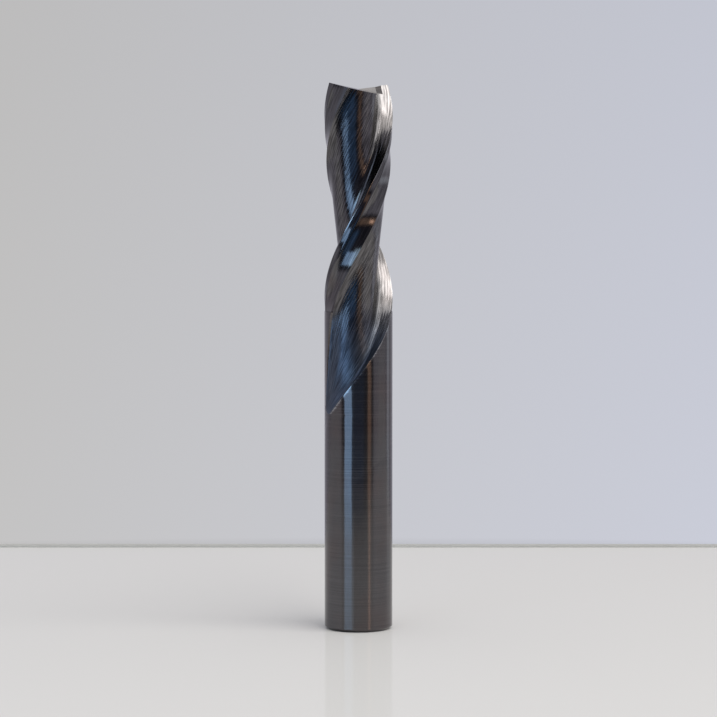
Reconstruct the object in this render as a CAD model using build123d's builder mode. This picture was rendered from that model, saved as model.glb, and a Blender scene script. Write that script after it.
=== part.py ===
from build123d import *
import os
from math import atan2, cos, degrees, radians, sin, tan

# A solid-carbide spiral router bit: one ground blank with two flutes.
# Millimetres and degrees. +Z runs from the shank end, at the origin, to the tip.
# Angles are counted anticlockwise as seen from the tip.

# Blank
overall_length = 76.2
shank_diameter = 9.525
shank_end_chamfer = 0.4

# Cutting end
cutting_diameter = 9.525
cutting_length = 31.75
helix_lead = 50.8
flutes = 2
tip_edge_angle = 211.5  # where the first cutting edge meets the tip

# Section of a tooth and the flute behind it. Depths are measured in from the cutting
# circle. Shares run from the tooth's own cutting edge, 0, to the next tooth's, 1.
primary_land_width = 0.97
primary_land_drop = 0.07
heel_depth = 0.2875
heel_share = 0.25
back_depth = 1.25  # middle of the tooth's convex back
back_share = 0.456
crest_depth = 1.79  # last of the back, before the gullet
crest_share = 0.644
gullet_radius = 0.8  # rounds the foot of the rake face, where the section is thinnest
rake_depth = 1.5  # straight part of the next tooth's rake face
hook_angle = 0.0

# Run-out of each flute into the shank
runout_length = 14.7
runout_heel_share = 0.733  # where the two sides of the flute end
runout_rake_share = 0.833
runout_clearance = 0.12  # height of the floor over the shank at the very end
runout_steps = 7

# Ground end
dish_angle = 8.75  # the end edges dip towards the axis
end_relief_angle = 11.6  # the end faces fall away behind their edges
end_step_length = 3.0  # how far out the step under each end edge runs
end_step_flare = 45.0  # then it turns forward, into the open flute

cutting_radius = cutting_diameter / 2
shank_radius = shank_diameter / 2
tooth_pitch = 360 / flutes
twist_rate = 360 / helix_lead
flute_bottom = overall_length - cutting_length
outside = 1.3 * max(cutting_radius, shank_radius)
rim_flare = 5.0  # keeps the run-out's side from lying in line with the rake face


def polar(radius, angle):
    """A point of a section, from its radius and its angle."""
    return Vector(radius * cos(radians(angle)), radius * sin(radians(angle)))


def edge_angle(height, tooth=0):
    """Angle of a cutting edge's helix at this height: it climbs anticlockwise."""
    return tip_edge_angle + tooth * tooth_pitch - (overall_length - height) * twist_rate


def gullet_corners():
    """The gullet's arc, seen from the edge in front of it: its start, middle and end.

    It runs from the section's thinnest place into the straight part of the rake face.
    """
    rake_root = polar(cutting_radius, 0) - polar(rake_depth, -hook_angle)
    centre = rake_root + polar(gullet_radius, -90 - hook_angle)
    thinnest = centre - centre.normalized() * gullet_radius
    middle = (thinnest - centre) + (rake_root - centre)
    return thinnest, centre + middle.normalized() * gullet_radius, rake_root


def flute_floor(start, run=0.0):
    """The corners of one flute's floor, from the tooth's heel round to the next edge.

    Start is the angle of the tooth's cutting edge. Run goes from 0, the full flute, to
    1, the end of its run-out, where the floor lies just outside the shank. The heel
    side closes evenly, while the depth and the rake side begin slowly.
    """
    rise = (run + run**2) / 2
    floor = [
        (cutting_radius - heel_depth, heel_share, run),
        (cutting_radius - back_depth, back_share, run),
        (cutting_radius - crest_depth, crest_share, rise),
    ]
    for corner in gullet_corners():
        share = 1 + degrees(atan2(corner.Y, corner.X)) / tooth_pitch
        floor.append((corner.length, share, rise))
    floor.append((cutting_radius, 1, rise))
    end_radius = shank_radius + runout_clearance
    corners = []
    for number, (radius, share, turned) in enumerate(floor):
        across = number / (len(floor) - 1)
        end_share = runout_heel_share + across * (runout_rake_share - runout_heel_share)
        radius += (end_radius - radius) * rise
        share += (end_share - share) * turned
        corners.append(polar(radius, start + share * tooth_pitch))
    return corners


def draw_floor(corners):
    """Draw the floor's outline: the tooth's back, the gullet and the rake face."""
    *back, thinnest, gullet_middle, rake_root, edge = corners
    gullet = ThreePointArc(thinnest, gullet_middle, rake_root)
    Spline(*back, thinnest, tangents=[back[1] - back[0], gullet % 0])
    Line(rake_root, edge)


def draw_land(start):
    """Draw the tooth's two reliefs: a narrow one behind the edge, then on to the heel."""
    land_end = polar(
        cutting_radius - primary_land_drop,
        start + degrees(primary_land_width / cutting_radius),
    )
    Polyline(polar(cutting_radius, start), land_end, flute_floor(start)[0])


# The fluted length: the section of all teeth, twisted up to the tip.
with BuildPart() as fluted_end:
    with BuildSketch(Plane.XY.offset(flute_bottom)):
        with BuildLine():
            for tooth in range(flutes):
                start = edge_angle(flute_bottom, tooth)
                draw_land(start)
                draw_floor(flute_floor(start))
        make_face()
    with BuildLine() as axis:
        Line((0, 0, flute_bottom), (0, 0, overall_length))
    with BuildLine() as twist:
        Helix(helix_lead, cutting_length, cutting_radius, center=(0, 0, flute_bottom))
    sweep(path=axis.wire(), binormal=twist.edge())


# The run-out: what the lifting wheel takes from the shank below one flute.
with BuildPart() as runout:
    for step in range(runout_steps + 1):
        run = step / runout_steps
        height = flute_bottom - run * runout_length
        corners = flute_floor(edge_angle(height), run)
        heel, edge = corners[0], corners[-1]
        with BuildSketch(Plane.XY.offset(height)):
            with BuildLine():
                draw_floor(corners)
                rim = ThreePointArc(
                    heel.normalized() * outside,
                    (heel.normalized() + edge.normalized()).normalized() * outside,
                    edge.normalized().rotate(Axis.Z, rim_flare) * outside,
                )
                Line(heel, rim @ 0)
                Line(edge, rim @ 1)
            make_face()
    loft()


def end_face_plane(tooth):
    """The plane of a tooth's end face, on the axis, with X along the tooth's end edge.

    It holds the end edge, which dips towards the axis, and falls away behind it.
    """
    angle = edge_angle(overall_length, tooth)
    outward = Vector(1, 0, tan(radians(dish_angle))).rotate(Axis.Z, angle)
    behind = Vector(0, 1, -tan(radians(end_relief_angle))).rotate(Axis.Z, angle)
    dip = cutting_radius * tan(radians(dish_angle))
    return Plane((0, 0, overall_length - dip), x_dir=outward, z_dir=outward.cross(behind))


def draw_end_face():
    """Draw what is ground off over a tooth: from its own end edge round to the next one.

    Both sides run out along an end edge as a step, then flare forward, clear of a tooth.
    """
    own_step = polar(end_step_length, 0)
    next_step = polar(end_step_length, tooth_pitch)
    Polyline(
        own_step + polar(4 * outside, -end_step_flare),
        own_step,
        (0, 0),
        next_step,
        next_step + polar(4 * outside, tooth_pitch - end_step_flare),
        polar(8 * outside, tooth_pitch / 2),
        close=True,
    )


# The ground blank, with its flutes let in, the cutting end on top and the end faces cut.
with BuildPart() as router_bit:
    with BuildSketch():
        Circle(shank_radius)
    extrude(amount=flute_bottom)
    chamfer(edges().sort_by(Axis.Z)[0], shank_end_chamfer)
    with PolarLocations(0, flutes):
        add(runout.part, mode=Mode.SUBTRACT)
    add(fluted_end.part)
    for tooth in range(flutes):
        with BuildSketch(end_face_plane(tooth)):
            with BuildLine():
                draw_end_face()
            make_face()
        extrude(amount=overall_length, dir=(0, 0, 1), mode=Mode.SUBTRACT)

router_bit.part.label = "router_bit"
os.makedirs("parts", exist_ok=True)
export_step(router_bit.part, "parts/router_bit.step")
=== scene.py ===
"""A solid-carbide spiral router bit standing on a pale table, with its lights and camera.

Sizes are in metres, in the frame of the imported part: +Z from the shank end to the tip.
"""
import math

import bpy
import numpy as np
from bpy.props import FloatProperty, FloatVectorProperty, IntProperty, PointerProperty
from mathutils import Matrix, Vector


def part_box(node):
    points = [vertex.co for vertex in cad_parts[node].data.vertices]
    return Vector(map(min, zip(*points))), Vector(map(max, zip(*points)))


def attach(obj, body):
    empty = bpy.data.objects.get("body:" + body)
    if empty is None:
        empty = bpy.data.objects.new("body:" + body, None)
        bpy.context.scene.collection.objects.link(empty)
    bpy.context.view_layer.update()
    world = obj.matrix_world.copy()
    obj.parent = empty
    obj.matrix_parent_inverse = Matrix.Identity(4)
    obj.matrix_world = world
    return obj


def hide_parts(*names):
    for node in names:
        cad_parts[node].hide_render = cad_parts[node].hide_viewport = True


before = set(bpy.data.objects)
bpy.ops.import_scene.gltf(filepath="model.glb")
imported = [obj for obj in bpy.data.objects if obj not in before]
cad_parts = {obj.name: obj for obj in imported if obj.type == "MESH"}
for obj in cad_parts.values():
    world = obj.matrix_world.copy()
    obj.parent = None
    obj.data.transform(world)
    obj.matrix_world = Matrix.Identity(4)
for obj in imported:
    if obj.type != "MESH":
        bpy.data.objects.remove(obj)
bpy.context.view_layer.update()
LOW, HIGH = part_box("router_bit")
MM = 0.001

bl_info = {
    "name": "Router bit",
    "version": (1, 0, 0),
    "blender": (4, 5, 0),
    "location": "View3D > Sidebar > Router bit",
    "description": "A ground carbide router bit, its table, lights and camera",
    "category": "Object",
}


# ---------------------------------------------------------------- properties

def length(name, description, default, **more):
    """A length in metres, shown in the scene's unit."""
    return FloatProperty(name=name, description=description, default=default,
                         min=0, unit="LENGTH", precision=5, **more)


def share(name, description, default):
    """A share of the tooth pitch or of a whole, from 0 to 1."""
    return FloatProperty(name=name, description=description, default=default,
                         min=0, max=1, subtype="FACTOR")


def colour(name, description, default):
    """A linear colour."""
    return FloatVectorProperty(name=name, description=description, default=default,
                               subtype="COLOR", min=0, max=1)


class BitSizes(bpy.types.PropertyGroup):
    """Sizes of the bit: its blank, its teeth, its flutes and its ground end."""

    overall_length: length("Overall length", "Shank end to tip", HIGH.z - LOW.z)
    diameter: length("Diameter", "Of the shank and of the cutting circle", HIGH.x - LOW.x)
    shank_chamfer: length("Shank chamfer", "Chamfer round the shank end", 0.4 * MM)
    cutting_length: length("Cutting length", "Length of full flute", 31.75 * MM)
    helix_lead: length("Helix lead", "Rise of the flutes in one turn", 50.8 * MM)
    flutes: IntProperty(name="Flutes", description="Number of teeth", default=2, min=2, max=4)
    tip_angle: FloatProperty(name="Tip angle", description="Where the first edge meets the tip",
                             default=math.radians(211.5), subtype="ANGLE")
    land_width: length("Land width", "Narrow relief behind each edge", 0.97 * MM)
    land_drop: length("Land drop", "Fall of the narrow relief", 0.07 * MM)
    heel_depth: length("Heel depth", "Fall of the tooth at its heel", 0.2875 * MM)
    heel_share: share("Heel", "Where the heel lies between two edges", 0.25)
    back_depth: length("Back depth", "Depth at the middle of the back", 1.25 * MM)
    back_share: share("Back", "Where the middle of the back lies", 0.456)
    crest_depth: length("Crest depth", "Depth where the back meets the gullet", 1.79 * MM)
    crest_share: share("Crest", "Where the back meets the gullet", 0.644)
    gullet_radius: length("Gullet radius", "Round at the foot of the rake face", 0.8 * MM)
    rake_depth: length("Rake depth", "Straight part of the rake face", 1.5 * MM)
    runout_length: length("Run-out", "Length over which a flute leaves the shank", 14.7 * MM)
    runout_heel: share("Run-out heel", "Where the heel side of the run-out ends", 0.733)
    runout_rake: share("Run-out rake", "Where the rake side of the run-out ends", 0.833)
    runout_clearance: length("Run-out clearance", "Floor over the shank at the end", 0.12 * MM)
    runout_blend: share("Run-out blend", "How softly the run-out starts", 0.12)
    dish_angle: FloatProperty(name="Dish", description="Dip of the end edges to the axis",
                              default=math.radians(8.75), subtype="ANGLE")
    end_relief: FloatProperty(name="End relief", description="Fall behind the end edges",
                              default=math.radians(11.6), subtype="ANGLE")
    end_step: length("End step", "Length of the step under each end edge", 3.0 * MM)
    gash_lean: FloatProperty(name="Gash lean", description="Of the wall under an end edge",
                             default=math.radians(25), subtype="ANGLE")
    edge_hone: length("Edge hone", "Tiny flat along each cutting edge", 0.012 * MM)


class BitFinish(bpy.types.PropertyGroup):
    """Colours and finish of the ground carbide."""

    carbide: colour("Carbide", "Colour of the ground carbide", (0.112, 0.108, 0.112))
    # A paler colour painted along each cutting edge as a highlight.
    glint_colour: colour("Edge glint", "Colour where an edge is worn", (0.42, 0.42, 0.43))
    patina: colour("Patina", "Faint stain on the ground carbide", (0.119, 0.105, 0.106))
    lift_roughness: share("Run-out roughness", "Added where the wheel lifts out", 0.22)
    # A blue painted into the run-out's colour as a reflection of the cool light.
    lift_blue_reflection: colour("Run-out blue reflection", "Where the wheel lifts out", (0.074, 0.086, 0.112))
    shank_roughness: share("Shank roughness", "Centreless-ground shank", 0.14)
    flute_roughness: share("Flute roughness", "Wheel-ground flutes", 0.12)


class StageSizes(bpy.types.PropertyGroup):
    """The table, the lights and the camera."""

    table_colour: colour("Table", "Colour of the table top", (0.70, 0.695, 0.695))
    table_ior: FloatProperty(name="Table gloss", description="Refractive index of its finish",
                             default=1.07, min=1)
    # The seam's grey is darker than the table as painted shade where the table meets the wall.
    seam_shade_colour: colour("Table seam shade", "Joint behind the table", (0.42, 0.42, 0.41))
    wall_left: colour("Wall, left", "The wall's colour to the left", (0.508, 0.503, 0.503))
    wall_right: colour("Wall, right", "The wall's colour to the right", (0.542, 0.558, 0.632))
    even_light: colour("Even light", "Light from all round", (0.66, 0.655, 0.655))
    table_back: length("Table back", "From the bit to the table's far edge", 0.0845)
    table_front: length("Table front", "From the bit to the table's near edge", 0.125)
    table_half_width: length("Table half width", "Half the table's width", 0.6)
    camera_distance: length("Camera distance", "From the bit's axis to the camera", 0.334)
    camera_height: length("Camera height", "Height of the camera over the table", 0.056)
    camera_pitch: FloatProperty(name="Camera pitch", description="How far the camera looks down",
                                default=math.radians(3.1), subtype="ANGLE")
    lens: FloatProperty(name="Lens", description="Focal length in mm for a 36 mm sensor",
                        default=120.0, min=1)


def add_object(name, data):
    """A new object of the scene, at the origin unless it is moved."""
    made = bpy.data.objects.new(name, data)
    bpy.context.scene.collection.objects.link(made)
    return made


# ---------------------------------------------------------------- node helpers

def new_material(name, kind="ShaderNodeBsdfPrincipled"):
    """A node material, its tree and its one shader, Principled unless said otherwise."""
    material = bpy.data.materials.new(name)
    material.use_nodes = True
    tree = material.node_tree
    tree.nodes.clear()
    out = tree.nodes.new("ShaderNodeOutputMaterial")
    shader = tree.nodes.new(kind)
    tree.links.new(shader.outputs[0], out.inputs[0])
    return material, tree, shader


def node(tree, kind, **inputs):
    """A new node. Inputs are set by name; a tuple (node, output) is linked instead."""
    made = tree.nodes.new(kind)
    for name, value in inputs.items():
        connect(tree, made, name.replace("_", " "), value)
    return made


def connect(tree, made, key, value):
    """Set one input of a node, or link it from a pair of a node and its output."""
    if isinstance(value, tuple) and hasattr(value[0], "outputs"):
        tree.links.new(value[0].outputs[value[1]], made.inputs[key])
    else:
        made.inputs[key].default_value = value


def maths(tree, operation, *values):
    """A Math node with its inputs set or linked."""
    made = tree.nodes.new("ShaderNodeMath")
    made.operation = operation
    for number, value in enumerate(values):
        connect(tree, made, number, value)
    return made, 0


def vector_maths(tree, operation, *values):
    """A Vector Math node with its inputs set or linked."""
    made = tree.nodes.new("ShaderNodeVectorMath")
    made.operation = operation
    for number, value in enumerate(values):
        connect(tree, made, number, value)
    return made, 0


def map_range(tree, value, low, high, to_low=0.0, to_high=1.0):
    """A clamped Map Range node."""
    made = tree.nodes.new("ShaderNodeMapRange")
    for key, setting in enumerate((value, low, high, to_low, to_high)):
        connect(tree, made, key, setting)
    return made, 0


def colour_mix(tree, factor, first, second, blend="MIX"):
    """A Mix node for colours."""
    made = tree.nodes.new("ShaderNodeMix")
    made.data_type = "RGBA"
    made.blend_type = blend
    for key, setting in ((0, factor), (6, first), (7, second)):
        connect(tree, made, key, setting)
    return made, 2


# ---------------------------------------------------------------- shape of the bit

# How finely the shape is divided: points of the floor's outline, rows up the bit and
# columns round one tooth.
SPLINE_POINTS, GULLET_POINTS, RAKE_POINTS = 60, 60, 30
SHANK_ROWS, RUNOUT_ROWS, FLUTE_ROWS = 44, 96, 200
BACK_COLUMNS, GULLET_COLUMNS, RAKE_COLUMNS = 40, 20, 13
LAND_COLUMNS, RELIEF_COLUMNS = 5, 15
FLOOR_START, FLOOR_END = 0.008, 0.995  # columns close to the heel and to the edge
LAND_START = 0.03  # the land's first column, close behind the edge

LEDGE_HEIGHT = 0.15 * MM  # from the shank's top row to the first row of the flutes
CHAMFER_GAP = 0.05 * MM  # rows beside the chamfer and below the run-out's end
RUNOUT_GAP = 0.4 * MM
LEAST_FLOOR = 0.03  # share of the floor that the run-out closes down to
RIM_BEND = 1.7  # how the run-out's end is spread over the floor's columns
RAKE_SIDE, RAKE_SIDE_WIDTH = 0.29, 0.2  # where the floor goes over to the rake side
SHANK_SPREAD = 12 * MM  # length over which the columns spread evenly round the shank
LIFT_ABOVE, LIFT_LENGTH = 2 * MM, 7 * MM  # where the wheel starts to lift, and how long
CUTTER_HEIGHT = 6 * MM
END_FLARE = math.radians(45)  # the outline's turn forward, past the end step
SHARP_ANGLE = math.radians(28)


def unit(vectors):
    """The vectors at length one."""
    return vectors / np.linalg.norm(vectors, axis=-1, keepdims=True)


def polar(radius, angle):
    """Points of a section, from radius and angle in radians."""
    return np.stack([radius * np.cos(angle), radius * np.sin(angle)], -1)


def clamped_spline(points, first, last, steps):
    """A smooth cubic through the points with the given end directions.

    Chord lengths h are the parameter. The inner tangents m solve
    m0/h0 + 2(1/h0 + 1/h1) m1 + m2/h1 = 3 (d0/h0^2 + d1/h1^2), and each span is the
    cubic Hermite curve between its two points and tangents.
    """
    gaps = np.diff(points, axis=0)
    h = np.linalg.norm(gaps, axis=1)
    count = len(points)
    matrix = np.zeros((count, count))
    right = np.zeros((count, 2))
    matrix[0, 0] = matrix[-1, -1] = 1
    right[0], right[-1] = unit(first), unit(last)
    inner = np.arange(1, count - 1)
    matrix[inner, inner - 1] = 1 / h[:-1]
    matrix[inner, inner] = 2 * (1 / h[:-1] + 1 / h[1:])
    matrix[inner, inner + 1] = 1 / h[1:]
    right[inner] = 3 * (gaps[:-1] / h[:-1, None] ** 2 + gaps[1:] / h[1:, None] ** 2)
    tangent = np.linalg.solve(matrix, right)
    t = np.linspace(0, 1, steps, endpoint=False)[None, :, None]
    a, b = points[:-1, None], points[1:, None]
    ma, mb = tangent[:-1, None] * h[:, None, None], tangent[1:, None] * h[:, None, None]
    spans = ((2 * t**3 - 3 * t**2 + 1) * a + (t**3 - 2 * t**2 + t) * ma
             + (3 * t**2 - 2 * t**3) * b + (t**3 - t**2) * mb)
    return np.vstack([spans.reshape(-1, 2), points[-1:]])


def flute_floor(sizes):
    """The full flute's floor: its radius and share of the pitch against its own length.

    A spline over the tooth's back, an arc of the gullet's radius that touches the rake
    face, and the straight rake face, which lies on a radius. It also gives the floor's
    length, and the two shares of it where the gullet starts and ends.
    """
    edge = sizes.diameter / 2
    pitch = 2 * math.pi / sizes.flutes
    root = np.array([edge - sizes.rake_depth, 0.0])
    centre = root - [0, sizes.gullet_radius]
    thinnest = centre - unit(centre) * sizes.gullet_radius
    turn = math.atan2(thinnest[1] - centre[1], thinnest[0] - centre[0])
    angles = np.linspace(turn, math.pi / 2, GULLET_POINTS)[:, None]
    gullet = centre + sizes.gullet_radius * np.hstack([np.cos(angles), np.sin(angles)])
    rake = np.linspace(root, [edge, 0], RAKE_POINTS)
    depths = np.array([sizes.heel_depth, sizes.back_depth, sizes.crest_depth])
    shares = np.array([sizes.heel_share, sizes.back_share, sizes.crest_share])
    back = np.vstack([polar(edge - depths, (shares - 1) * pitch), thinnest])
    inward = np.array([-thinnest[1], thinnest[0]])
    spline = clamped_spline(back, back[1] - back[0], inward, SPLINE_POINTS)
    curve = np.vstack([spline[:-1], gullet[:-1], rake])
    run = np.concatenate([[0], np.cumsum(np.linalg.norm(np.diff(curve, axis=0), axis=1))])
    marks = run[[len(spline) - 1, len(spline) + len(gullet) - 2]] / run[-1]
    radius = np.linalg.norm(curve, axis=1)
    along = 1 + np.unwrap(np.arctan2(curve[:, 1], curve[:, 0])) / pitch
    return run / run[-1], radius, along, run[-1], marks


def smooth(x):
    """The smoothstep 3x^2 - 2x^3 of x held between 0 and 1."""
    x = np.clip(x, 0, 1)
    return x * x * (3 - 2 * x)


def bit_surface(sizes):
    """Angle, radius and height of every point of the bit, on one grid of rows and columns.

    Rows climb the bit. Columns go once round it, tooth by tooth: land, then floor. In
    the flutes each row is the same section, turned by the helix. In the run-out the
    floor's radius r0(s) goes to r0 + (end - r0) rise, with rise = (run + run^2) / 2,
    and only what lies inside the shank is kept: the columns spread between the two
    places where the floor meets the shank's circle. Below, they spread evenly round it.
    It also gives, for each column of a tooth, whether it is in the floor, whether it
    carries the painted highlight along the edge, its distance round the section, and
    the heights where the run-out ends and starts.
    """
    edge = sizes.diameter / 2
    pitch = 2 * math.pi / sizes.flutes
    flute_bottom = sizes.overall_length - sizes.cutting_length
    s, r0, share0, floor_length, (gullet_in, gullet_out) = flute_floor(sizes)
    end = edge + sizes.runout_clearance
    deepest = np.argmin(r0)
    exit_rise = (edge - r0[deepest]) / (end - r0[deepest])
    exit_run = (math.sqrt(1 + 8 * exit_rise) - 1) / 2
    runout_end = flute_bottom - exit_run * sizes.runout_length

    # rows
    chamfer = sizes.shank_chamfer
    shank_rows = np.linspace(chamfer + CHAMFER_GAP, runout_end - RUNOUT_GAP, SHANK_ROWS)
    climb = np.linspace(0, 1, RUNOUT_ROWS)
    runout_rows = runout_end + (flute_bottom - runout_end) * climb
    flute_rows = np.linspace(flute_bottom + LEDGE_HEIGHT, sizes.overall_length, FLUTE_ROWS)
    z = np.concatenate([[0, chamfer], shank_rows, runout_rows, flute_rows])
    turn = sizes.tip_angle - (sizes.overall_length - z) * 2 * math.pi / sizes.helix_lead
    run = (flute_bottom - z) / sizes.runout_length
    run = np.clip((run + np.hypot(run, sizes.runout_blend)) / 2, 0, exit_run)
    rise = (run + run**2) / 2
    fluted = z > flute_bottom

    # where the floor meets the shank's circle, as shares of the floor's length
    limit = (edge - end * rise) / (1 - rise)
    from_heel = np.interp(-limit, -r0[:deepest + 1], s[:deepest + 1])
    to_rake = np.interp(limit, r0[deepest:], s[deepest:])
    middle = (from_heel + to_rake) / 2
    width = np.maximum(to_rake - from_heel, LEAST_FLOOR)
    from_heel, to_rake = middle - width / 2, middle + width / 2
    from_heel, to_rake = np.clip(from_heel, 0, 1), np.clip(to_rake, 0, 1)

    # columns of one floor
    cols = np.concatenate([np.linspace(FLOOR_START, gullet_in, BACK_COLUMNS),
                           np.linspace(gullet_in, gullet_out, GULLET_COLUMNS)[1:],
                           np.linspace(gullet_out, FLOOR_END, RAKE_COLUMNS)[1:], [1]])
    at = from_heel[:, None] + (to_rake - from_heel)[:, None] * cols
    full_radius = np.interp(at, s, r0)
    full_share = np.interp(at, s, share0)
    rim_width = sizes.runout_rake - sizes.runout_heel
    end_share = sizes.runout_heel + rim_width * at**RIM_BEND
    late = smooth((at - RAKE_SIDE) / RAKE_SIDE_WIDTH)
    turned = run[:, None] + (rise - run)[:, None] * late
    radius = full_radius + (end - full_radius) * rise[:, None]
    floor_radius = np.minimum(radius, edge)
    floor_angle = (full_share + (end_share - full_share) * turned) * pitch

    # columns of one land, from the edge to the heel
    land_end = sizes.land_width / edge
    corners = polar(np.array([edge, edge - sizes.land_drop, edge - sizes.heel_depth]),
                    np.array([0, land_end, sizes.heel_share * pitch]))
    first = np.linspace(LAND_START, 1, LAND_COLUMNS)[:, None]
    second = np.linspace(0, 1, RELIEF_COLUMNS)[1:, None]
    land = np.vstack([corners[0] + (corners[1] - corners[0]) * first,
                      corners[1] + (corners[2] - corners[1]) * second])
    land_radius = np.linalg.norm(land, axis=1)
    land_angle = np.arctan2(land[:, 1], land[:, 0])
    part = land_angle / land_angle[-1]
    starts = floor_angle[:, -1:] - pitch
    stops = np.interp(from_heel, s, share0)
    heel_end = sizes.runout_heel + rim_width * from_heel**RIM_BEND
    stops = (stops + (heel_end - stops) * run)[:, None] * pitch
    land_radius = np.where(fluted[:, None], land_radius, edge)
    land_angle = np.where(fluted[:, None], land_angle, starts + (stops - starts) * part)

    floor_radius[fluted, -1] -= sizes.edge_hone
    tooth_radius = np.hstack([land_radius, floor_radius])
    tooth_angle = np.hstack([land_angle, floor_angle])
    teeth = np.arange(sizes.flutes) * pitch
    angle = np.concatenate([tooth_angle + turn[:, None] + tooth for tooth in teeth], axis=1)
    radius = np.concatenate([tooth_radius] * sizes.flutes, axis=1)

    # below the run-out the columns stop turning and spread evenly round the shank
    held = np.searchsorted(z, runout_end)
    around = angle[held, 0] + np.linspace(0, 2 * math.pi, angle.shape[1], endpoint=False)
    spread = smooth((runout_end - z[:held]) / SHANK_SPREAD)[:, None]
    angle[:held] = angle[held] + (around - angle[held]) * spread
    radius[:held] = edge
    radius[0] = edge - chamfer

    columns = np.concatenate([np.zeros(len(part)), np.ones(len(cols))])
    # painted highlight: 1 on the column at each cutting edge
    glint = np.zeros(len(columns))
    glint[[0, -1]] = 1
    across = np.concatenate([part * sizes.heel_share * pitch * edge,
                             sizes.heel_share * pitch * edge + cols * floor_length])
    return angle, radius, z, columns, glint, across, (runout_end, flute_bottom)


SHANK, LAND, FLUTE, END = range(4)  # the finishes, in the order of the bit's materials


def grid_mesh(name, sizes):
    """The bit's closed mesh from its grid of points, with its grind map and finishes."""
    angle, radius, z, is_floor, glint, across, (runout_end, flute_bottom) = bit_surface(sizes)
    rows, cols = angle.shape
    points = np.dstack([radius * np.cos(angle), radius * np.sin(angle),
                        np.broadcast_to(z[:, None], angle.shape)])
    i, j = np.meshgrid(np.arange(rows - 1), np.arange(cols), indexing="ij")
    k = (j + 1) % cols
    quads = np.stack([i * cols + j, i * cols + k, (i + 1) * cols + k, (i + 1) * cols + j], -1)
    quads = quads.reshape(-1, 4)
    bottom = np.arange(cols)[::-1]
    cap = (rows - 1) * cols + np.arange(cols)
    mesh = bpy.data.meshes.new(name)
    mesh.from_pydata(points.reshape(-1, 3).tolist(), [],
                     quads.tolist() + [bottom.tolist(), cap.tolist()])

    # finishes, face by face
    floor = np.tile(is_floor, sizes.flutes)
    floor = np.minimum(floor, np.roll(floor, -1))[None, :] > 0
    middle = (z[:-1] + z[1:])[:, None] / 2
    finish = np.where(floor & (middle > runout_end), FLUTE,
                      np.where(middle > flute_bottom, LAND, SHANK))
    finish = np.broadcast_to(finish, (rows - 1, cols)).reshape(-1)
    mesh.polygons.foreach_set("material_index",
                              np.concatenate([finish, [SHANK, END]]).astype(np.int32))

    # lift: 1 where the wheel rises out of the flute; it makes the run-out rougher and carries
    # its painted blue reflection
    lift = smooth((flute_bottom + LIFT_ABOVE - z) / LIFT_LENGTH)[:, None] * np.ones(cols)
    mesh.attributes.new("lift", "FLOAT", "POINT").data.foreach_set(
        "value", lift.astype(np.float32).ravel())

    # painted highlight: 1 along each edge of the flutes, where a paler colour is painted
    glinted = np.tile(glint, sizes.flutes) * (z[:, None] > runout_end)
    mesh.attributes.new("glint", "FLOAT", "POINT").data.foreach_set(
        "value", glinted.astype(np.float32).ravel())

    # grind map: u in millimetres round the section, v in millimetres up the bit
    tooth_width = across[-1]
    u = np.concatenate([across + n * tooth_width for n in range(sizes.flutes)])
    u = np.concatenate([u, [u[0] + sizes.flutes * tooth_width]]) / MM
    v = z / MM
    uv = np.stack([np.stack([u[j], v[i]], -1), np.stack([u[j + 1], v[i]], -1),
                   np.stack([u[j + 1], v[i + 1]], -1), np.stack([u[j], v[i + 1]], -1)], 2)
    flat = points.reshape(-1, 3)
    caps = np.concatenate([bottom, cap])
    uv = np.concatenate([uv.reshape(-1, 2), flat[caps, :2] / MM])
    layer = mesh.uv_layers.new(name="grind")
    layer.data.foreach_set("uv", uv.astype(np.float32).ravel())
    mesh.update()
    return mesh


def end_cutter(name, sizes, tooth):
    """What is ground off over one tooth: a prism that stands on its end face.

    The face holds the end edge, which dips to the axis by the dish angle, and falls
    away behind it by the relief angle. Its outline follows the end edge to the end
    step, then flares forward into the flute, and goes round behind the tooth. The sides
    lean back over the next tooth, as a gash does.
    """
    edge = sizes.diameter / 2
    pitch = 2 * math.pi / sizes.flutes
    angle = sizes.tip_angle + tooth * pitch
    c, s = math.cos(angle), math.sin(angle)
    outward = np.array([c, s, math.tan(sizes.dish_angle)])
    behind = np.array([-s, c, -math.tan(sizes.end_relief)])
    normal = unit(np.cross(outward, behind))
    x_dir = unit(outward)
    y_dir = np.cross(normal, x_dir)
    origin = np.array([0, 0, sizes.overall_length - edge * math.tan(sizes.dish_angle)])
    far = 4 * edge
    own, following = polar(sizes.end_step, 0.0), polar(sizes.end_step, pitch)
    outline = np.array([own + polar(far, -END_FLARE), own, [0, 0], following,
                        following + polar(far, pitch - END_FLARE),
                        polar(2 * far, pitch / 2)])
    lower = origin + outline[:, :1] * x_dir + outline[:, 1:] * y_dir
    lean = CUTTER_HEIGHT * math.tan(sizes.gash_lean) * np.array([s, -c, 0])
    upper = lower + [0, 0, CUTTER_HEIGHT] + lean
    count = len(outline)
    i = np.arange(count)
    k = (i + 1) % count
    sides = np.stack([i, i + count, k + count, k], -1)
    mesh = bpy.data.meshes.new(name)
    mesh.from_pydata(np.vstack([lower, upper]).tolist(), [],
                     sides.tolist() + [i.tolist(), (i + count)[::-1].tolist()])
    return add_object(name, mesh)


def one_finish(mesh, index):
    """Give every face of the mesh one of the finishes."""
    mesh.polygons.foreach_set("material_index", np.full(len(mesh.polygons), index, np.int32))


# ---------------------------------------------------------------- finishes

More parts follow.
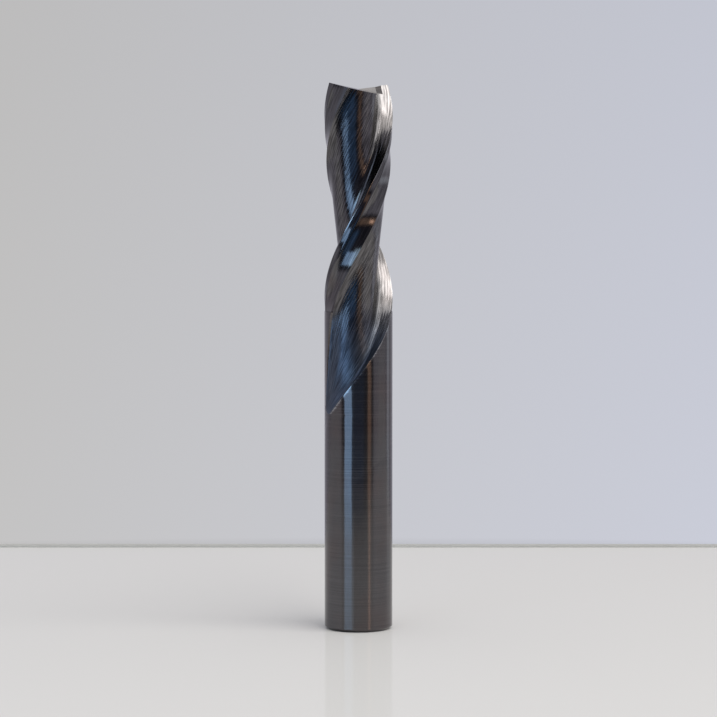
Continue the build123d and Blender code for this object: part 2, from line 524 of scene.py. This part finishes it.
def carbide(name, finish, roughness, grain, contrast, depth, along=0.0, rotation=0.0,
            lifted=False):
    """Bare ground carbide: a dark metal with fine grinding lines and a faint stain.

    Grain is a function that gives the coordinates of the lines' noise, stretched along
    the lines. The noise makes them lighter and darker by the contrast and raises them
    by the depth. Along and rotation are the anisotropy. A lifted finish has feed marks,
    and turns rougher where the wheel rises out of the flute, with a painted blue
    reflection there. Each edge gets a painted highlight, a paler colour along it.
    """
    material, tree, shader = new_material(name)
    coords = grain(tree)
    lines = node(tree, "ShaderNodeTexNoise", Vector=coords, Scale=1.0, Detail=3.0,
                 Roughness=0.5), 0
    if lifted:
        feed = node(tree, "ShaderNodeTexWave", Vector=coords, Scale=0.19, Distortion=3.0,
                    Detail=2.0)
        marks = map_range(tree, (feed, 1), 0.0, 1.0, -0.05, 0.05)
        lines = maths(tree, "ADD", lines, marks)

    # colour: carbide with a stain, a painted blue reflection where the wheel lifts, then the
    # lines and a painted highlight along each edge
    place = tree.nodes.new("ShaderNodeTexCoord")
    stain = node(tree, "ShaderNodeTexNoise", Vector=(place, "Object"), Scale=170.0, Detail=4.0)
    stained = map_range(tree, (stain, 0), 0.45, 0.66, 0.0, 0.4 if lifted else 1.0)
    tint = colour_mix(tree, stained, (*finish.carbide, 1), (*finish.patina, 1))
    gloss = map_range(tree, lines, 0.3, 0.7, roughness * 0.8, roughness * 1.25)
    if lifted:
        lift = point_value(tree, "lift")
        # painted reflection: the run-out's colour turns blue where the wheel lifts out
        tint = colour_mix(tree, lift, tint, (*finish.lift_blue_reflection, 1))
        gloss = maths(tree, "MULTIPLY_ADD", lift, finish.lift_roughness, gloss)
    shade = map_range(tree, lines, 0.38, 0.62, 1 - contrast, 1 + contrast)
    tint = colour_mix(tree, 1.0, tint, shade, "MULTIPLY")
    # painted highlight: a paler colour along each cutting edge, broken by the grinding lines
    glinted = maths(tree, "MULTIPLY", point_value(tree, "glint"), lines)
    glinted = map_range(tree, glinted, 0.3, 0.55, 0.0, 0.8)
    tint = colour_mix(tree, glinted, tint, (*finish.glint_colour, 1))

    bump = node(tree, "ShaderNodeBump", Strength=1.0, Distance=depth, Height=lines)
    tangent = tree.nodes.new("ShaderNodeTangent")
    tangent.direction_type = "RADIAL"
    tangent.axis = "Z"
    for key, value in (("Base Color", tint), ("Roughness", gloss), ("Normal", (bump, 0)),
                       ("Tangent", (tangent, 0)), ("Metallic", 1.0),
                       ("Anisotropic", along), ("Anisotropic Rotation", rotation)):
        connect(tree, shader, key, value)
    return material


def point_value(tree, name):
    """The value of one of the mesh's point attributes."""
    made = tree.nodes.new("ShaderNodeAttribute")
    made.attribute_name = name
    return made, "Fac"


def grind_map(tree):
    """The bit's own UV map: millimetres round the section, and up the bit."""
    made = tree.nodes.new("ShaderNodeUVMap")
    made.uv_map = "grind"
    return made, 0


def ring_lines(tree):
    """Coordinates whose noise makes thin lines round the bit's axis."""
    coords = tree.nodes.new("ShaderNodeTexCoord")
    return vector_maths(tree, "MULTIPLY", (coords, "Object"), (60, 60, 9000))


def helix_lines(tree):
    """Coordinates whose noise makes lines up the flute, leaning a little across it."""
    lean, fineness, stretch = -0.12, 4.2, 0.45
    split = node(tree, "ShaderNodeSeparateXYZ", Vector=grind_map(tree))
    across = maths(tree, "MULTIPLY_ADD", (split, 1), lean, (split, 0))
    across = maths(tree, "MULTIPLY", across, fineness)
    along = maths(tree, "MULTIPLY", (split, 1), stretch)
    return node(tree, "ShaderNodeCombineXYZ", X=across, Y=along), 0


def land_lines(tree):
    """Coordinates whose noise makes fine lines along the lands."""
    return vector_maths(tree, "MULTIPLY", grind_map(tree), (5.0, 0.35, 1))


class ROUTER_OT_bit(bpy.types.Operator):
    """Make the ground bit: its shank, lands, flutes, run-outs and end faces"""

    bl_idname = "router.bit"
    bl_label = "Router bit"

    def execute(self, context):
        sizes = context.scene.router_sizes
        finish = context.scene.router_finish
        mesh = grid_mesh("ground_bit", sizes)
        bit = add_object("ground_bit", mesh)
        shank, flute = finish.shank_roughness, finish.flute_roughness
        for material in (
                carbide("ground_shank", finish, shank, ring_lines, 0.12, 1.5e-6,
                        along=0.8, rotation=0.25),
                carbide("relief_land", finish, flute, land_lines, 0.3, 5e-6),
                carbide("wheel_ground_flute", finish, flute, helix_lines, 0.4, 2.6e-5,
                        lifted=True),
                carbide("ground_end", finish, flute, ring_lines, 0.1, 3e-6)):
            mesh.materials.append(material)
        for tooth in range(sizes.flutes):
            cutter = end_cutter("end_cut", sizes, tooth)
            for slot in mesh.materials:
                cutter.data.materials.append(slot)
            one_finish(cutter.data, END)
            cut = bit.modifiers.new("end_face", "BOOLEAN")
            cut.operation = "DIFFERENCE"
            cut.solver = "EXACT"
            cut.object = cutter
            context.view_layer.update()
            made = bpy.data.meshes.new_from_object(
                bit.evaluated_get(context.evaluated_depsgraph_get()))
            bit.modifiers.clear()
            bit.data = made
            bpy.data.objects.remove(cutter)
        if len(bit.data.polygons) < len(mesh.polygons) / 2:
            raise RuntimeError("the end faces were not cut")
        bit.data.polygons.foreach_set("use_smooth", np.ones(len(bit.data.polygons), bool))
        bit.data.set_sharp_from_angle(angle=SHARP_ANGLE)
        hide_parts("router_bit")
        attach(bit, "root")
        return {"FINISHED"}


# ---------------------------------------------------------------- stage

TABLE_THICKNESS = 20 * MM
SEAM_WIDTH, SEAM_RISE = 2 * MM, 0.35 * MM
SENSOR_WIDTH = 36  # millimetres, as cameras count it


def box_mesh(name, low, high):
    """A box from its two corners."""
    x, y, z = zip(low, high)
    corners = [(x[a], y[b], z[c]) for c in (0, 1) for b in (0, 1) for a in (0, 1)]
    faces = [(0, 2, 3, 1), (4, 5, 7, 6), (0, 1, 5, 4), (2, 6, 7, 3), (1, 3, 7, 5), (0, 4, 6, 2)]
    mesh = bpy.data.meshes.new(name)
    mesh.from_pydata(corners, [], faces)
    return mesh


def table_material(stage):
    """A pale board that mirrors a little, and more at grazing angles."""
    material, tree, mix = new_material("table_top", "ShaderNodeMixShader")
    graze = node(tree, "ShaderNodeFresnel", IOR=stage.table_ior)
    board = node(tree, "ShaderNodeBsdfDiffuse", Color=(*stage.table_colour, 1))
    gloss = node(tree, "ShaderNodeBsdfGlossy", Color=(1, 1, 1, 1), Roughness=0.08)
    for key, source in enumerate((graze, board, gloss)):
        connect(tree, mix, key, (source, 0))
    return material


def shaded_seam_material(stage):
    """The joint behind the table, a dull grey darkened as painted shade of the gap."""
    material, _, shader = new_material("table_seam_shade")
    shader.inputs["Base Color"].default_value = (*stage.seam_shade_colour, 1)
    shader.inputs["Roughness"].default_value = 0.8
    return material


def stage_box(name, low, high, material):
    """A box of the stage, in its material."""
    mesh = box_mesh(name, low, high)
    mesh.materials.append(material)
    add_object(name, mesh)


# Lamps: azimuth in degrees, 0 in front and positive to the right, distance from the
# bit's axis, height, width, height of the lamp itself, radiance and tint.
LAMPS = (
    ("ceiling", 48, 0.68, 0.90, 1.0, 0.52, 4.2, (1, 0.98, 0.92)),
    ("window", -35.5, 1.5, 0.05, 0.68, 0.50, 2.2, (0.40, 0.66, 1)),
    ("window_top", -33, 1.49, 0.28, 0.92, 0.30, 1.5, (0.58, 0.82, 1)),
    ("warm_top", 37, 1.49, 0.22, 0.16, 0.20, 3.0, (1, 0.62, 0.42)),
)
LAMP_AIM = Vector((0, 0, 0.05))


def lamp(name, azimuth, distance, height, width, tall, radiance, tint):
    """A rectangular lamp of a given radiance: its power is pi times area times that."""
    data = bpy.data.lights.new(name, "AREA")
    data.shape = "RECTANGLE"
    data.size, data.size_y = width, tall
    data.energy = math.pi * width * tall * radiance
    data.color = tint
    turn = math.radians(azimuth)
    light = add_object(name, data)
    light.location = (distance * math.sin(turn), -distance * math.cos(turn), height)
    light.rotation_euler = (LAMP_AIM - light.location).to_track_quat("-Z", "Y").to_euler()


# The plain lights and shades of the room, as soft-edged panels on the sky round the bit:
# left and right edge in degrees, 0 in front and positive to the right, lower and upper
# edge as the height of a unit direction, the softness of both, and the colour.
# Each is laid over the ones before it.
ROOM_GREY = (0.45, 0.44, 0.50)
ROOM_PANELS = (
    ("dark_front", -56, 48, -1.0, 0.6, 8, 0.15, (0.06, 0.06, 0.08)),
    ("cool_floor_glow", -24, 14, -1.0, -0.14, 10, 0.04, (0.12, 0.24, 0.45)),
    ("warm_strip", 33, 42, -1.0, 0.25, 4, 0.10, (0.50, 0.34, 0.25)),
    ("cool_side", -110, -62, 0.25, 0.6, 8, 0.15, (0.60, 0.70, 0.90)),
    ("side_strip", 116, 122, -0.14, 0.25, 6, 0.10, (0.90, 0.95, 1.05)),
    ("skylight", 55, 115, 0.35, 1.0, 35, 0.15, (2.5, 2.5, 2.4)),
    ("overhead", -30, 100, 0.74, 1.0, 12, 0.10, (3.4, 3.3, 3.1)),
)


def soft_span(tree, value, start, stop, softness):
    """How far a value is in a span: 1 inside, falling evenly to 0 over the softness."""
    middle, half = (start + stop) / 2, (stop - start) / 2
    aside = maths(tree, "ABSOLUTE", maths(tree, "SUBTRACT", value, middle))
    return map_range(tree, aside, half + softness, half)


def panel_cover(tree, turn, height, left, right, lower, upper, soft_turn, soft_height):
    """How far a panel covers a direction, by its turn and its height."""
    across = soft_span(tree, turn, left, right, soft_turn)
    return maths(tree, "MULTIPLY", across, soft_span(tree, height, lower, upper, soft_height))


def studio_world(context, stage):
    """A pale wall to the camera, and to light and gloss a room that differs by direction."""
    world = context.scene.world or bpy.data.worlds.new("studio")
    context.scene.world = world
    world.use_nodes = True
    tree = world.node_tree
    tree.nodes.clear()
    out = tree.nodes.new("ShaderNodeOutputWorld")
    coords = (tree.nodes.new("ShaderNodeTexCoord"), "Generated")
    split = node(tree, "ShaderNodeSeparateXYZ", Vector=coords)
    x, y, z = (split, 0), (split, 1), (split, 2)

    # the wall: cooler to the right, paler low down, with a soft shade at its foot
    side = map_range(tree, x, -0.15, 0.15)
    wall = colour_mix(tree, side, (*stage.wall_left, 1), (*stage.wall_right, 1))
    drop = map_range(tree, z, 0.094, -0.128)
    wall = colour_mix(tree, drop, wall, (1.09, 1.09, 1.09, 1), "MULTIPLY")
    foot = map_range(tree, z, -0.1284, -0.1322)
    wall = colour_mix(tree, foot, wall, (0.86, 0.86, 0.86, 1), "MULTIPLY")
    seen = node(tree, "ShaderNodeBackground", Color=wall)

    # the room
    turn = maths(tree, "ARCTAN2", x, maths(tree, "MULTIPLY", y, -1.0))
    turn = maths(tree, "MULTIPLY", turn, math.degrees(1))
    room = (*ROOM_GREY, 1)
    for name, *edges, tint in ROOM_PANELS:
        room = colour_mix(tree, panel_cover(tree, turn, z, *edges), room, (*tint, 1))
        room[0].label = name
    floor = map_range(tree, z, -0.34, -0.25, 0.2, 1.0)  # dim towards the ground
    lit = node(tree, "ShaderNodeBackground", Color=room, Strength=floor)

    # the wall to the camera, the room to gloss, and an even light to all else
    path = tree.nodes.new("ShaderNodeLightPath")
    even = node(tree, "ShaderNodeBackground", Color=(*stage.even_light, 1))
    gloss = tree.nodes.new("ShaderNodeMixShader")
    for key, value in enumerate(((path, "Is Glossy Ray"), (even, 0), (lit, 0))):
        connect(tree, gloss, key, value)
    mix = tree.nodes.new("ShaderNodeMixShader")
    for key, value in enumerate(((path, "Is Camera Ray"), (gloss, 0), (seen, 0))):
        connect(tree, mix, key, value)
    tree.links.new(mix.outputs[0], out.inputs[0])


class ROUTER_OT_stage(bpy.types.Operator):
    """Set the table, the studio, its lamps and the camera"""

    bl_idname = "router.stage"
    bl_label = "Stage"

    def execute(self, context):
        stage = context.scene.router_stage
        half, back, front = stage.table_half_width, stage.table_back, stage.table_front
        under = -TABLE_THICKNESS
        stage_box("table", (-half, -front, under), (half, back, 0), table_material(stage))
        # a strip at the joint behind the table, its dark grey painted shade
        stage_box("table_seam_shade", (-half, back, under), (half, back + SEAM_WIDTH, SEAM_RISE),
                  shaded_seam_material(stage))
        studio_world(context, stage)
        for row in LAMPS:
            lamp(*row)
        data = bpy.data.cameras.new("camera")
        data.lens = stage.lens
        data.sensor_width = SENSOR_WIDTH
        data.clip_start = 10 * MM
        camera = add_object("camera", data)
        camera.location = (0, -stage.camera_distance, stage.camera_height)
        camera.rotation_euler = (math.pi / 2 - stage.camera_pitch, 0, 0)
        context.scene.camera = camera
        context.scene.view_settings.view_transform = "Standard"
        return {"FINISHED"}


class ROUTER_PT_panel(bpy.types.Panel):
    """The bit and its stage, in the 3D view's sidebar"""

    bl_label = "Router bit"
    bl_idname = "ROUTER_PT_panel"
    bl_space_type = "VIEW_3D"
    bl_region_type = "UI"
    bl_category = "Router bit"

    def draw(self, context):
        layout = self.layout
        for operator, props in (("router.bit", context.scene.router_sizes),
                                (None, context.scene.router_finish),
                                ("router.stage", context.scene.router_stage)):
            if operator:
                layout.operator(operator)
            for name in props.__annotations__:
                layout.prop(props, name)


CLASSES = (BitSizes, BitFinish, StageSizes, ROUTER_OT_bit, ROUTER_OT_stage, ROUTER_PT_panel)


def register():
    """Register the classes and hang the properties on the scene."""
    for cls in CLASSES:
        bpy.utils.register_class(cls)
    bpy.types.Scene.router_sizes = PointerProperty(type=BitSizes)
    bpy.types.Scene.router_finish = PointerProperty(type=BitFinish)
    bpy.types.Scene.router_stage = PointerProperty(type=StageSizes)


def unregister():
    """Undo register."""
    del bpy.types.Scene.router_stage
    del bpy.types.Scene.router_finish
    del bpy.types.Scene.router_sizes
    for cls in reversed(CLASSES):
        bpy.utils.unregister_class(cls)


def main():
    """Register the classes, then make the bit and its stage."""
    register()
    bpy.ops.router.bit()
    bpy.ops.router.stage()


if __name__ == "__main__":
    main()
